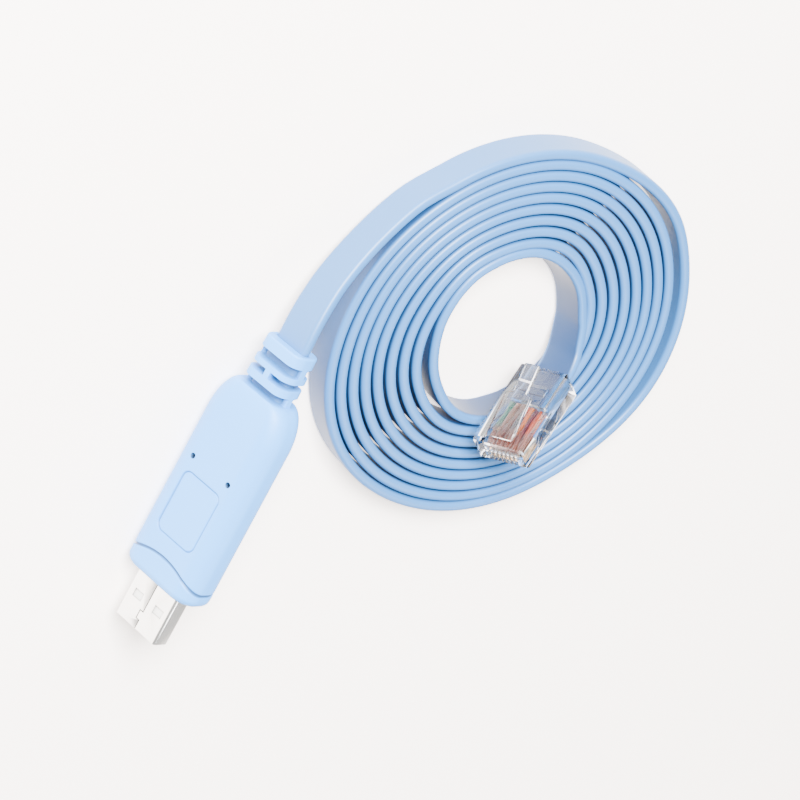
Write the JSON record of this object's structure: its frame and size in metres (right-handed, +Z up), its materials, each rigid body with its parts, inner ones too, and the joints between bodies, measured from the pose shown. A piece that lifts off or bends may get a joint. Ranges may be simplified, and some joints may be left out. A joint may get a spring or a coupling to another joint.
{
  "type": "USB to RJ45 console cable",
  "caption": "Flat light-blue console cable wound in a pancake coil, with a moulded USB-A plug at one end and a clear modular plug at the other",
  "frame": {"origin": "on the surface that the cable lies on, under the middle of the USB plug, from the tip of its metal shell to the end of its strain relief", "axes": "+X along the USB plug towards its tip, +Z up, +Y from the USB plug towards the coil's side"},
  "size_m": [0.1257, 0.1043, 0.0248],
  "materials": {
    "housing": "fine satin, light blue moulded plastic",
    "cable": "smooth light blue flexible jacket",
    "shell": "bright plated sheet steel",
    "tongue": "white insulator",
    "contacts": "gold-plated",
    "clear_body": "clear moulded plastic",
    "wire_teal": "thin insulation",
    "wire_brown": "thin insulation",
    "wire_black": "thin insulation",
    "wire_red": "thin insulation",
    "wire_yellow": "thin insulation",
    "wire_purple": "thin insulation",
    "wire_orange": "thin insulation",
    "wire_white": "thin insulation"
  },
  "bodies": {
    "root": {"usb_housing": "housing", "usb_shell": "shell", "usb_tongue": "tongue", "usb_contact_1": "contacts", "usb_contact_2": "contacts", "usb_contact_3": "contacts", "usb_contact_4": "contacts", "rj45_body": "clear_body", "rj45_contact_1": "contacts", "rj45_contact_2": "contacts", "rj45_contact_3": "contacts", "rj45_contact_4": "contacts", "rj45_contact_5": "contacts", "rj45_contact_6": "contacts", "rj45_contact_7": "contacts", "rj45_contact_8": "contacts", "wire_1": "wire_teal", "wire_2": "wire_white", "wire_3": "wire_brown", "wire_4": "wire_black", "wire_5": "wire_red", "wire_6": "wire_yellow", "wire_7": "wire_purple", "wire_8": "wire_orange", "cable_lead": "cable", "cable_coil": "cable", "cable_tail": "cable"}
  },
  "joints": []
}
